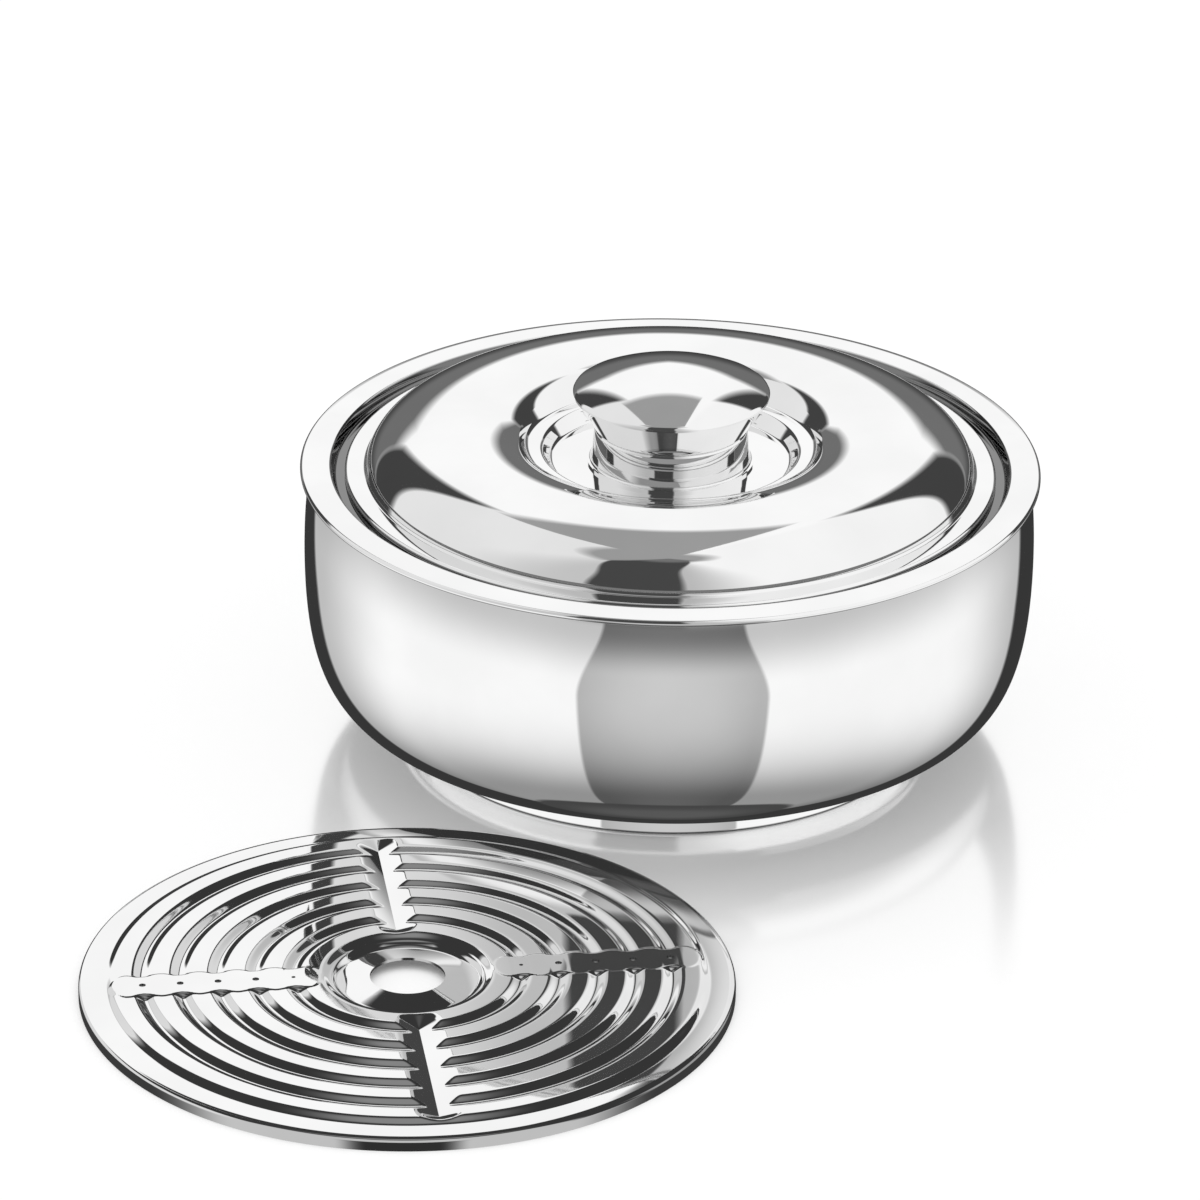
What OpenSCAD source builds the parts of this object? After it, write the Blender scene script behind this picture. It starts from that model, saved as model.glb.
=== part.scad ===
// Insulated chapati casserole with a lift-off lid and a loose pressed roti plate.
// The pot stands on its foot ring at z = 0, with its axis on the origin.
// Every spun sheet is a line of corners with bend radii, given the thickness of its metal.

/* [Pot] */
// Outer diameter of the rolled rim
rim_d = 250; // [230:1:280]
// Width of the flat band of the rim
rim_w = 10.3; // [8:0.1:14]
// Height of the rim above the table
pot_h = 96; // [86:1:115]
// Distance that the rim stands out over the neck of the body
rim_overhang = 3.3; // [2.8:0.1:6]
// Distance that the belly stands out beyond the neck
belly_out_w = 2; // [0.5:0.1:6]
// Height of the widest part of the belly
belly_z = 65; // [52:1:72]
// Depth of the lid's seat below the rim
seat_drop = 4; // [3.6:0.1:7]
// Slope of the step from the rim down to the seat, measured across
step_run = 1.3; // [0.5:0.1:3]
// Width of the lid's seat
seat_w = 6.9; // [6:0.1:10]
// Height of the bowl's floor above the foot ring
bowl_floor_h = 13; // [11:0.5:26]
// Radius of the corner between the bowl's wall and floor
bowl_corner_r = 22; // [14:1:28]
// Thickness of the steel sheet of the pot
pot_sheet = 0.8; // [0.6:0.05:1]

/* [Foot] */
// Outer diameter of the foot ring
foot_d = 177; // [160:1:186]
// Height of the foot ring
foot_h = 7; // [5:0.5:9]
// Width of the lip that the pot stands on
foot_lip_w = 4; // [3:0.5:8]
// Distance that the body stands out over the foot ring
foot_inset = 1; // [0.5:0.1:3]
// Width of the body's land inside the foot ring
land_w = 9.5; // [7:0.5:14]
// Height of the panel pressed up in the base plate
base_panel_h = 2; // [1.5:0.1:4]

/* [Lid] */
// Gap between the edge of the lid and the step of the rim
lid_gap = 3.4; // [1:0.1:4]
// Width of the flat flange of the lid
lid_flange_w = 7.2; // [5.5:0.1:10]
// Height of the domed ring above the flange
dome_h = 16; // [12:0.5:24]
// Outer diameter of the narrow ledge around the well
ledge_d = 97.6; // [90:0.2:110]
// Width of that ledge
ledge_w = 5.3; // [4:0.1:8]
// Height of that ledge above the flange
ledge_h = 7.2; // [6:0.1:10]
// Slope of the step from the ledge down to the floor of the well, measured across
well_run = 3; // [1.5:0.1:5]
// Height of the floor of the well above the flange
well_h = 2.6; // [1.5:0.1:4]
// Depth of the lining below the seat of the pot
liner_drop = 10; // [8:0.5:16]
// Radius of the lower edge of the lining
liner_corner_r = 5; // [3:0.5:7]
// Thickness of the steel sheet of the lid
lid_sheet = 0.8; // [0.6:0.05:1]

/* [Knob] */
// Largest diameter of the knob
knob_d = 66.4; // [58:0.2:70]
// Height of the domed cap above its seam
cap_h = 8.9; // [6:0.1:14]
// Height of the flared cup below the seam
cup_h = 11.8; // [8:0.1:18]
// Diameter where the cup stands on the pedestal
neck_d = 51.4; // [44:0.2:54]
// Height of the pedestal
pedestal_h = 12.6; // [9:0.1:18]
// Diameter of the foot of the pedestal
pedestal_d = 56.4; // [55:0.2:64]
// Thickness of the steel sheet of the knob
knob_sheet = 0.8; // [0.6:0.05:1]
// Diameter of the stud through the knob
stud_d = 5; // [4:0.5:6]
// Diameter of the round head of the stud
stud_head_d = 18; // [12:0.5:24]
// Thickness of the head of the stud
stud_head_t = 1.5; // [1:0.1:2.5]
// Outer diameter of the flat washer
washer_d = 15; // [12:0.5:20]
// Thickness of the flat washer
washer_t = 1; // [0.8:0.1:1.4]
// Outer diameter of the split lock washer
lock_washer_d = 9.2; // [8.6:0.1:11]
// Thickness of the lock washer
lock_washer_t = 1.3; // [1:0.1:1.5]
// Width of the nut across its flats
nut_w = 8; // [7.6:0.1:10]
// Height of the nut
nut_h = 4; // [3:0.1:4.5]

/* [Filling plugs] */
// Diameter of the head of a plug
plug_head_d = 14; // [10:0.5:18]
// Thickness of the head of a plug
plug_head_t = 1.2; // [0.8:0.1:1.8]
// Diameter of the stem of a plug
plug_stem_d = 8.4; // [6:0.1:9]
// Length of the stem of a plug
plug_stem_l = 3.4; // [2.6:0.1:4]
// Height of the barb that holds a plug behind the sheet
barb_h = 0.8; // [0.5:0.1:1.2]

/* [Roti plate] */
// Gap between the plate and the wall of the bowl
plate_play = 2; // [1:0.1:5]
// Height of the rim of the plate
plate_h = 4.4; // [3.6:0.1:7]
// Width of the flat band inside the rim of the plate
plate_band_w = 8.1; // [5:0.1:10]
// Distance from one ring of the plate to the next
ring_pitch = 12; // [10:0.1:12.4]
// Height of the pressed rings
ring_h = 1.4; // [1:0.1:2.4]
// Number of full grooves between the rings
groove_count = 5; // [3:1:5]
// Depth of the dished centre
dish_depth = 1.2; // [0.6:0.1:2]
// Diameter of the finger hole
finger_hole_d = 24; // [18:0.5:28]
// Width of the raised bars and of the low channels
bar_w = 14; // [10:0.5:16]
// Height that the raised bars stand above the rings
bar_rise = 0.3; // [0.2:0.05:0.8]
// Diameter of the drain holes
drain_d = 2.2; // [1.6:0.1:3]
// Diameter of the innermost drain hole
small_drain_d = 1.3; // [1:0.1:2]
// Angle of the first bar
bar_turn = 8; // [0:1:45]
// Thickness of the steel sheet of the plate
plate_sheet = 0.9; // [0.7:0.05:1.1]
// Gap on the table between the foot ring and the plate
plate_gap = 20.8; // [12:0.2:60]
// Direction from the pot to the plate
plate_bearing = -112.8; // [-180:0.2:180]

/* [Clearances] */
// Gap between the lining of the lid and the wall of the bowl
liner_play = 1.3; // [0.5:0.1:2]
// Gap between the edge of a sheet and the fold around it
fold_play = 0.3; // [0.1:0.05:0.5]
// Gap around the stud, and around a plug in its hole
hole_play = 0.1; // [0.05:0.05:0.3]
// Gap around the nut and washers in the foam
pocket_play = 0.3; // [0.1:0.1:1]
// Gap between the base plate and the foot ring
base_play = 0.2; // [0.1:0.1:0.6]

/* [Hidden] */

// Smoothness of round shapes and of bends
round_fn = 96;
bend_step = 18;
arc_step_w = 2.4;
curve_steps = 16;
dome_steps = 14;
crown_steps = 10;
ring_steps = 6;
end_steps = 4;
hex_sides = 6;
// Overrun of every cut
over = 0.5;

// Radii of bends, all larger than the sheet that they bend
fold_slack = 0.3;
pot_bend = pot_sheet + fold_slack;
lid_bend = lid_sheet + fold_slack;
plate_bend = plate_sheet + fold_slack;
soft_bend = 1.2;
neck_bend = 0.6;
panel_bend = 1.5;
well_bend = 2;
dome_bend = 2.5;
dish_bend = 2.5;

// Heights and radii of the pot
rim_r = rim_d / 2;
rim_t = 3 * pot_sheet;
rim_in_r = rim_r - rim_w;
seat_r = rim_in_r - step_run;
bowl_r = seat_r - seat_w;
seat_z = pot_h - seat_drop;
bowl_z = foot_h + bowl_floor_h;
neck_r = rim_r - rim_overhang;
belly_r = neck_r + belly_out_w;
fold_gap = 0.9;
fold_w = rim_overhang - fold_gap;
flange_under_z = pot_h - rim_t + pot_sheet;
foam_top_z = seat_z - pot_bend - rim_t;
foot_r = foot_d / 2;
base_r = foot_r + foot_inset;
base_hole_r = base_r - land_w;
base_z = foot_h - pot_sheet;
base_panel_z = base_z + base_panel_h;
base_edge_r = foot_r - pot_sheet - base_play;
panel_edge_w = 1.6;
panel_r = base_hole_r - pot_sheet - panel_edge_w;

// Handles of the belly's lower curve, as shares of its width and height
low_out_share = 0.44;
low_up_share = 0.177;
low_drop_share = 1.062;

// Heights and radii of the lid
lid_r = seat_r - lid_gap;
lid_rim_t = 3 * lid_sheet;
flange_z = seat_z + lid_rim_t;
dome_r = lid_r - lid_flange_w;
ledge_r = ledge_d / 2;
ledge_in_r = ledge_r - ledge_w;
well_r = ledge_in_r - well_run;
ledge_z = flange_z + ledge_h;
well_z = flange_z + well_h;
crest_z = flange_z + dome_h;
crest_share = 0.44;
crest_r = ledge_r + (dome_r - ledge_r) * crest_share;
dome_first_turn = 25;
dome_last_turn = 82;
liner_r = bowl_r - liner_play;
liner_z = seat_z - liner_drop;
liner_flange_z = seat_z + lid_sheet;
liner_flange_r = lid_r - lid_sheet - fold_play;
lid_fold_w = 2.3;

// Heights and radii of the knob
knob_r = knob_d / 2;
neck_top_r = neck_d / 2;
pedestal_r = pedestal_d / 2;
cup_z = well_z + pedestal_h;
seam_z = cup_z + cup_h;
cap_z = seam_z + cap_h;
cap_lip = 1.4;
cap_edge_r = 0.5;
cup_top_r = knob_r - knob_sheet - hole_play;
pedestal_foot_w = 1.4;
crease_share = 0.37;
crease_out_share = 0.4;
crease_z = well_z + pedestal_h * crease_share;
crease_r = neck_top_r + (pedestal_r - pedestal_foot_w - neck_top_r) * crease_out_share * 2;
stud_r = stud_d / 2;
stud_hole_r = stud_r + hole_play;
washer_z = well_z - lid_sheet - washer_t;
lock_washer_z = washer_z - lock_washer_t;
nut_z = lock_washer_z - nut_h;
stud_tail = 1.5;
stud_z = nut_z - stud_tail;
washer_split = 1;

// Plugs in the filling holes
plug_stem_r = plug_stem_d / 2;
plug_hole_r = plug_stem_r + hole_play;
barb_out = 0.7;

// Roti plate
plate_r = bowl_r - plate_play;
ring_out_r = plate_r - plate_band_w;
ring_in_r = ring_out_r - (groove_count + 1) * ring_pitch;
finger_hole_r = finger_hole_d / 2;
plate_under_z = plate_h - plate_sheet;
dish_r = (finger_hole_r + ring_in_r) / 2;
bar_in_r = ring_in_r + ring_pitch / 4;
bar_out_r = ring_out_r - ring_pitch / 8;
bar_top_z = plate_h + ring_h + bar_rise;
bar_foot_z = plate_h / 4;
bar_void_z = plate_h / 2;
channel_drop = 1.2;
channel_z = plate_h - channel_drop;
plate_dist = foot_r + plate_gap + plate_r;
plate_at = [plate_dist * cos(plate_bearing), plate_dist * sin(plate_bearing), 0];

steel = [0.82, 0.83, 0.85];
inner_steel = [0.74, 0.75, 0.77];
foam_colour = [0.93, 0.88, 0.7];
plug_colour = [0.3, 0.31, 0.33];

// Plane geometry of the outlines
function unit(v) = v / norm(v);
function left_of(v) = [-v[1], v[0]];
function at(v) = [v[0], v[1]];
function bend_of(v) = is_undef(v[2]) ? 0 : v[2];
function turn_of(a, b) = sign(a[0] * b[1] - a[1] * b[0]);
function backwards(list) = [for (i = [len(list) - 1:-1:0]) list[i]];

// Arc of radius r that rounds corner b between a and c
function bend(a, b, c, r) =
    let (
        u = unit(a - b),
        w = unit(c - b),
        open = acos(u * w),
        centre = b + unit(u + w) * r / sin(open / 2),
        start = b + u * r / tan(open / 2) - centre,
        sweep = 180 - open,
        steps = max(ceil(sweep / bend_step), ceil(r * sweep * PI / 180 / arc_step_w)),
        first = atan2(start[1], start[0]),
        way = turn_of(b - a, c - b)
    )
    [for (i = [0:steps]) centre + r * [cos(first + way * sweep * i / steps), sin(first + way * sweep * i / steps)]];

// A line of corners [across, up, bend radius], with each bend as an arc
function bent(line) =
    let (last = len(line) - 1)
    [for (i = [0:last]) each
        i == 0 || i == last || bend_of(line[i]) == 0
            ? [at(line[i])]
            : bend(at(line[i - 1]), at(line[i]), at(line[i + 1]), bend_of(line[i]))];

// The same line moved to its left by t
function shifted(line, t) =
    let (last = len(line) - 1)
    [for (i = [0:last])
        let (
            before = unit(line[max(i, 1)] - line[max(i, 1) - 1]),
            after = unit(line[min(i, last - 1) + 1] - line[min(i, last - 1)]),
            across = unit(left_of(before) + left_of(after))
        )
        line[i] + across * t / (across * left_of(before))];

// Both faces of a sheet, none of it past the axis
function skin(line, t) = concat(line, backwards([for (p = shifted(line, t)) [max(p[0], 0), p[1]]]));

// Cubic curve from a to d with handles b and c
function curve(a, b, c, d, steps) =
    [for (i = [0:steps])
        let (s = i / steps, q = 1 - s)
        q * q * q * a + 3 * q * q * s * b + 3 * q * s * s * c + s * s * s * d];

module spun(outline) {
    rotate_extrude($fn = round_fn) polygon(outline);
}

module rod(r, low, high) {
    translate([0, 0, low]) cylinder(r = r, h = high - low, $fn = round_fn);
}

// Bar with round ends along X, from radius a to radius b
module slot_form(a, b, w, low, high) {
    r = w / 2;
    translate([0, 0, low]) linear_extrude(high - low) polygon(concat(
        [for (i = [0:end_steps]) let (turn = 180 * i / end_steps - 90) [b - r + r * cos(turn), r * sin(turn)]],
        [for (i = [0:end_steps]) let (turn = 180 * i / end_steps + 90) [a + r + r * cos(turn), r * sin(turn)]]));
}

// Lines of the pot's sheets
belly_low = curve(
    [base_r, foot_h],
    [base_r + (belly_r - base_r) * low_out_share, foot_h + (belly_z - foot_h) * low_up_share],
    [belly_r, belly_z - (belly_z - foot_h) * low_drop_share],
    [belly_r, belly_z], curve_steps);
belly_rise = flange_under_z - belly_z;
belly_high = [for (i = [1:crown_steps - 1])
    let (s = i / crown_steps) [belly_r - belly_out_w * s * s, belly_z + belly_rise * s]];
shell_line = bent(concat(
    [[base_hole_r, foot_h]], belly_low, belly_high,
    [[neck_r, flange_under_z, neck_bend], [rim_r - pot_sheet - fold_play, flange_under_z]]));
bowl_line = bent([
    [0, bowl_z],
    [bowl_r, bowl_z, bowl_corner_r],
    [bowl_r, seat_z, pot_bend],
    [seat_r, seat_z, soft_bend],
    [rim_in_r, pot_h, pot_bend],
    [rim_r, pot_h, pot_bend],
    [rim_r, pot_h - rim_t, pot_bend],
    [rim_r - fold_w, pot_h - rim_t]]);
base_line = bent([
    [plug_hole_r, base_panel_z],
    [panel_r - panel_edge_w, base_panel_z, panel_bend],
    [panel_r, base_z, panel_bend],
    [base_edge_r, base_z]]);

// Lines of the lid's sheets
dome_in = [for (i = [0:dome_steps])
    let (turn = dome_first_turn + (90 - dome_first_turn) * i / dome_steps)
    [crest_r - (crest_r - ledge_r) * cos(turn), ledge_z + (crest_z - ledge_z) * sin(turn)]];
dome_out = [for (i = [1:dome_steps])
    let (turn = dome_last_turn * i / dome_steps)
    [crest_r + (dome_r - crest_r) * sin(turn), flange_z + (crest_z - flange_z) * cos(turn)]];
lid_line = bent(concat(
    [[stud_hole_r, well_z], [well_r, well_z, well_bend], [ledge_in_r, ledge_z, well_bend],
        [ledge_r, ledge_z, dome_bend]],
    dome_in, dome_out,
    [[dome_r, flange_z, soft_bend], [lid_r, flange_z, lid_bend], [lid_r, seat_z, lid_bend],
        [lid_r - lid_fold_w, seat_z]]));
liner_line = bent([
    [plug_hole_r, liner_z],
    [liner_r, liner_z, liner_corner_r],
    [liner_r, liner_flange_z, soft_bend],
    [liner_flange_r, liner_flange_z]]);

// Lines of the knob's sheets
crown_r = knob_r - cap_edge_r;
crown_h = cap_h - cap_lip;
crown_ball_r = (crown_r * crown_r + crown_h * crown_h) / (2 * crown_h);
crown_turn = asin(crown_r / crown_ball_r);
crown_line = [for (i = [0:crown_steps])
    let (turn = crown_turn * i / crown_steps)
    [crown_ball_r * sin(turn), cap_z - crown_ball_r * (1 - cos(turn))]];
cap_line = bent(concat(crown_line, [[knob_r, seam_z + cap_lip / 2], [knob_r, seam_z]]));
cup_line = bent([
    [stud_hole_r, cup_z],
    [neck_top_r, cup_z, soft_bend],
    [cup_top_r, seam_z, neck_bend],
    [cup_top_r, seam_z + cap_lip / 4]]);
pedestal_line = bent([
    [pedestal_r, well_z + knob_sheet],
    [pedestal_r - pedestal_foot_w, well_z + knob_sheet, neck_bend],
    [crease_r, crease_z, neck_bend],
    [neck_top_r, cup_z, soft_bend],
    [stud_hole_r, cup_z]]);

// Lines of the roti plate, whose rings follow a cosine
function ring_z(r) = plate_h + ring_h / 2 * (1 - cos(360 * (r - ring_out_r) / ring_pitch));
ring_points = (groove_count + 1) * ring_steps;
ring_line = [for (i = [0:ring_points])
    let (r = ring_in_r + (ring_out_r - ring_in_r) * i / ring_points) [r, ring_z(r)]];
plate_line = bent(concat(
    [[finger_hole_r, plate_h - dish_depth], [dish_r, plate_h - dish_depth, dish_bend]], ring_line,
    [[plate_r, plate_h, plate_bend], [plate_r, 0]]));

module outer_shell() {
    color(steel) spun(skin(shell_line, pot_sheet));
}

module inner_bowl() {
    color(inner_steel) spun(skin(bowl_line, -pot_sheet));
}

// Foam cast between the shell, the bowl and the base plate
module body_foam() {
    inside = [for (p = shifted(shell_line, pot_sheet)) if (p[1] < foam_top_z) p];
    side_r = inside[len(inside) - 1][0];
    under_bowl = [for (p = shifted(bowl_line, -pot_sheet)) if (p[1] < foam_top_z) p];
    bowl_side_r = bowl_r + pot_sheet;
    over_base = shifted(base_line, pot_sheet);
    color(foam_colour) difference() {
        spun(concat([[0, foot_h], [base_hole_r, foot_h]], inside, [[side_r, foam_top_z], [0, foam_top_z]]));
        spun(concat(under_bowl, [[bowl_side_r, foam_top_z + over], [0, foam_top_z + over]]));
        spun(concat([[0, base_panel_z]], over_base, [[base_edge_r, base_z - over], [0, base_z - over]]));
        plug_space(base_panel_z, base_panel_z + pot_sheet);
    }
}

module foot_ring() {
    line = bent([
        [foot_r, foot_h],
        [foot_r, 0, pot_bend],
        [foot_r - pot_sheet - foot_lip_w, 0]]);
    color(steel) spun(skin(line, -pot_sheet));
}

module base_plate() {
    color(inner_steel) spun(skin(base_line, pot_sheet));
}

// Push-in plug whose head lies under a sheet between heights low and high
module filling_plug(low, high) {
    rod(plug_head_d / 2, low - plug_head_t, low);
    rod(plug_stem_r, low - plug_head_t, low + plug_stem_l);
    rod(plug_stem_r + barb_out, high, high + barb_h);
}

module plug_space(low, high) {
    rod(plug_stem_r, low - over, low + plug_stem_l);
    rod(plug_stem_r + barb_out, high - over, high + barb_h);
}

module base_plug() {
    color(plug_colour) filling_plug(base_panel_z, base_panel_z + pot_sheet);
}

module lid_top() {
    color(steel) spun(skin(lid_line, -lid_sheet));
}

module lid_liner() {
    color(inner_steel) spun(skin(liner_line, lid_sheet));
}

// Foam cast between the two sheets of the lid, with a pocket for the nut
module lid_foam() {
    side_r = liner_r - lid_sheet;
    low = [for (p = shifted(liner_line, lid_sheet)) if (p[0] <= side_r) p];
    high = [for (p = shifted(lid_line, -lid_sheet)) if (p[0] <= side_r) p];
    color(foam_colour) difference() {
        spun(concat([[0, liner_z + lid_sheet]], low, backwards(high), [[0, well_z - lid_sheet]]));
        rod(washer_d / 2 + pocket_play, stud_z - pocket_play, well_z);
        plug_space(liner_z, liner_z + lid_sheet);
    }
}

module lid_plug() {
    color(plug_colour) filling_plug(liner_z, liner_z + lid_sheet);
}

module knob_pedestal() {
    color(steel) spun(skin(pedestal_line, knob_sheet));
}

module knob_cup() {
    color(steel) spun(skin(cup_line, knob_sheet));
}

module knob_cap() {
    color(steel) spun(skin(cap_line, -knob_sheet));
}

module knob_stud() {
    head_z = cup_z + knob_sheet;
    color(inner_steel) {
        rod(stud_head_d / 2, head_z, head_z + stud_head_t);
        rod(stud_r, stud_z, head_z + stud_head_t);
    }
}

module flat_washer() {
    color(inner_steel) difference() {
        rod(washer_d / 2, washer_z, washer_z + washer_t);
        rod(stud_hole_r, washer_z - over, washer_z + washer_t + over);
    }
}

module lock_washer() {
    color(inner_steel) difference() {
        rod(lock_washer_d / 2, lock_washer_z, washer_z);
        rod(stud_hole_r, lock_washer_z - over, washer_z + over);
        translate([0, -washer_split / 2, lock_washer_z - over])
            cube([lock_washer_d, washer_split, lock_washer_t + 2 * over]);
    }
}

module knob_nut() {
    color(inner_steel) difference() {
        translate([0, 0, nut_z]) cylinder(r = nut_w / 2 / cos(180 / hex_sides), h = nut_h, $fn = hex_sides);
        rod(stud_hole_r, nut_z - over, nut_z + nut_h + over);
    }
}

// Everything under the top of the rings, down to the table
module plate_mass() {
    spun(concat(plate_line, [[finger_hole_r, 0]]));
}

// The hollow under the sheet of the rings
module plate_hollow() {
    under = [for (p = shifted(plate_line, -plate_sheet)) if (p[1] > 0) p];
    inner_r = finger_hole_r - over;
    outer_r = plate_r - plate_sheet;
    spun(concat([[inner_r, under[0][1]]], under, [[outer_r, -over], [inner_r, -over]]));
}

// Slots across the rings, one at each turn, each edge moved in by trim
module turned_slots(turns, low, high, trim) {
    for (turn = turns) rotate([0, 0, turn])
        slot_form(bar_in_r + trim, bar_out_r - trim, bar_w - 2 * trim, low, high);
}

// Drain holes of a raised bar, one at each groove
module drains() {
    for (i = [1:groove_count]) {
        hole_r = (i == groove_count ? small_drain_d : drain_d) / 2;
        translate([ring_out_r - i * ring_pitch, 0, 0]) rod(hole_r, bar_void_z, bar_top_z + over);
    }
}

// Loose plate that keeps the rotis off the floor of the bowl, with two raised bars and two low channels
module roti_plate() {
    bars = [0, 180];
    channels = [90, 270];
    color(steel) translate(plate_at) rotate([0, 0, bar_turn]) difference() {
        union() {
            difference() {
                plate_mass();
                turned_slots(channels, channel_z, bar_top_z + over, plate_sheet);
            }
            turned_slots(bars, bar_foot_z, bar_top_z, 0);
        }
        difference() {
            plate_hollow();
            turned_slots(channels, channel_z - plate_sheet, bar_top_z, 0);
        }
        turned_slots(bars, bar_void_z, bar_top_z - plate_sheet, plate_sheet);
        for (turn = bars) rotate([0, 0, turn]) drains();
    }
}

outer_shell();
inner_bowl();
body_foam();
foot_ring();
base_plate();
base_plug();
lid_top();
lid_liner();
lid_foam();
lid_plug();
knob_pedestal();
knob_cup();
knob_cap();
knob_stud();
flat_washer();
lock_washer();
knob_nut();
roti_plate();
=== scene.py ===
import math

import bmesh
import bpy
import numpy as np
from mathutils import Matrix, Vector


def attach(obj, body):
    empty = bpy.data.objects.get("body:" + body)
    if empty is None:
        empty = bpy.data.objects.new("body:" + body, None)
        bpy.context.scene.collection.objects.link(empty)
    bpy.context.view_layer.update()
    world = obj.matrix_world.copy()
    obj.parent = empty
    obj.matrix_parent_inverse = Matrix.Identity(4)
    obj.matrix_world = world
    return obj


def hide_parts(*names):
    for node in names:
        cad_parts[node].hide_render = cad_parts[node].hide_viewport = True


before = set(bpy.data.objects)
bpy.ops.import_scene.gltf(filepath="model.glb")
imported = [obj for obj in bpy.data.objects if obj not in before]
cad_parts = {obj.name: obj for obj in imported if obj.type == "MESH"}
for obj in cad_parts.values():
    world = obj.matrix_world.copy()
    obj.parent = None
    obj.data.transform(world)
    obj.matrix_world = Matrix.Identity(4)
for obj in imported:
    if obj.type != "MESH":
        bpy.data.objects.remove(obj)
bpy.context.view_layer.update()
MM = 0.001

# Sizes in millimetres, as in the part's source
RIM_R, RIM_IN_R, SEAT_R, BOWL_R = 125.0, 114.7, 113.4, 106.5
POT_H, SEAT_Z, BOWL_Z, BELLY_Z = 96.0, 92.0, 20.0, 65.0
NECK_R, BELLY_R, BOWL_CORNER_R = 121.7, 123.7, 22.0
SHEET, HEM_T, FOLD_W, FOLD_PLAY = 0.8, 2.4, 2.4, 0.3
FOOT_R, FOOT_H, BASE_R, BASE_HOLE_R, FOOT_LIP_W = 88.5, 7.0, 89.5, 80.0, 4.0
LID_R, DOME_R, CREST_R = 110.0, 102.8, 72.576
LEDGE_R, LEDGE_IN_R, WELL_R = 48.8, 43.5, 40.5
FLANGE_Z, LEDGE_Z, WELL_Z, CREST_Z = 94.4, 101.6, 97.0, 110.4
LINER_R, LINER_Z = 105.2, 82.0
KNOB_R, NECK_TOP_R, PEDESTAL_R, STUD_HOLE_R = 33.2, 25.7, 28.2, 2.6
CUP_Z, SEAM_Z, CAP_Z, CAP_LIP = 109.6, 121.4, 130.3, 1.4
PLATE_AT, BAR_TURN = (-82.851, -197.094), 8.0
PLATE_R, RING_OUT_R, RING_IN_R, RING_PITCH, HOLE_R = 104.5, 96.4, 24.4, 12.0, 12.0
PLATE_H, RING_H, DISH_DEPTH, BAR_W, PLATE_SHEET = 4.4, 1.4, 1.2, 14.0, 0.9
BAR_RISE, VEE_DROP, BAND_FALL = 0.3, 1.4, 0.5
DRAINS, DRAIN_R, SMALL_DRAIN_R = 5, 1.1, 0.65
PLUG_HOLE_R, BASE_RISE = 4.3, 2.0


# Outlines
def arc(a, b, c, r, step=4.0):
    """Points of the arc of radius r that rounds corner b between a and c."""
    a, b, c = (np.array(p[:2], float) for p in (a, b, c))
    u, w = (a - b) / np.linalg.norm(a - b), (c - b) / np.linalg.norm(c - b)
    half = math.acos(max(-1, min(1, float(u @ w)))) / 2
    mid = (u + w) / np.linalg.norm(u + w)
    centre = b + mid * r / math.sin(half)
    start = b + u * r / math.tan(half) - centre
    turn = u[0] * w[1] - u[1] * w[0]
    sweep = math.copysign(math.pi - 2 * half, -turn)
    steps = max(4, math.ceil(abs(math.degrees(sweep)) / step))
    first = math.atan2(start[1], start[0])
    return [centre + r * np.array([math.cos(first + sweep * i / steps), math.sin(first + sweep * i / steps)])
            for i in range(steps + 1)]


def rounded(corners):
    """A line of corners (across, up, bend radius) with each bend as an arc."""
    line = []
    for i, p in enumerate(corners):
        bend = p[2] if len(p) > 2 else 0
        if bend and 0 < i < len(corners) - 1:
            line += arc(corners[i - 1], p, corners[i + 1], bend)
        else:
            line.append(np.array(p[:2], float))
    return line


def shifted(line, t):
    """The line moved to its left by t."""
    p = np.array(line)
    d = np.diff(p, axis=0)
    d /= np.linalg.norm(d, axis=1)[:, None]
    left = np.stack([-d[:, 1], d[:, 0]], 1)
    before = np.vstack([left[:1], left])
    after = np.vstack([left, left[-1:]])
    across = before + after
    across /= np.linalg.norm(across, axis=1)[:, None]
    out = p + across * (t / (across * before).sum(1))[:, None]
    out[:, 0] = np.maximum(out[:, 0], 0)
    return list(out)


def supported(line, near=0.1, shortest=3.2, longest=3.0):
    """The line with points close to both ends of each straight stretch, so that the bends shade cleanly."""
    out = [line[0]]
    for a, b in zip(line, line[1:]):
        length = float(np.linalg.norm(b - a))
        if length > shortest:
            cuts = [near / length, 1 - near / length]
            n = int(length // longest)
            cuts = sorted(cuts + [i / n for i in range(1, n)])
            out += [a + (b - a) * c for c in cuts]
        out.append(b)
    return out


def bezier(a, b, c, d, steps):
    a, b, c, d = (np.array(p, float) for p in (a, b, c, d))
    return [(1 - s) ** 3 * a + 3 * (1 - s) ** 2 * s * b + 3 * (1 - s) * s * s * c + s ** 3 * d
            for s in np.linspace(0, 1, steps + 1)]


def sheet(line, t):
    """Closed outline of a sheet of thickness t to the left of the line."""
    return supported(line) + supported(shifted(line, t))[::-1]


# Meshes
def mesh_object(name, verts, faces, sharp=35.0):
    me = bpy.data.meshes.new(name)
    me.from_pydata([tuple(v) for v in verts], [], faces)
    me.validate()
    ob = bpy.data.objects.new(name, me)
    bpy.context.scene.collection.objects.link(ob)
    me.shade_smooth()
    me.set_sharp_from_angle(angle=math.radians(sharp))
    return ob


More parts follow.
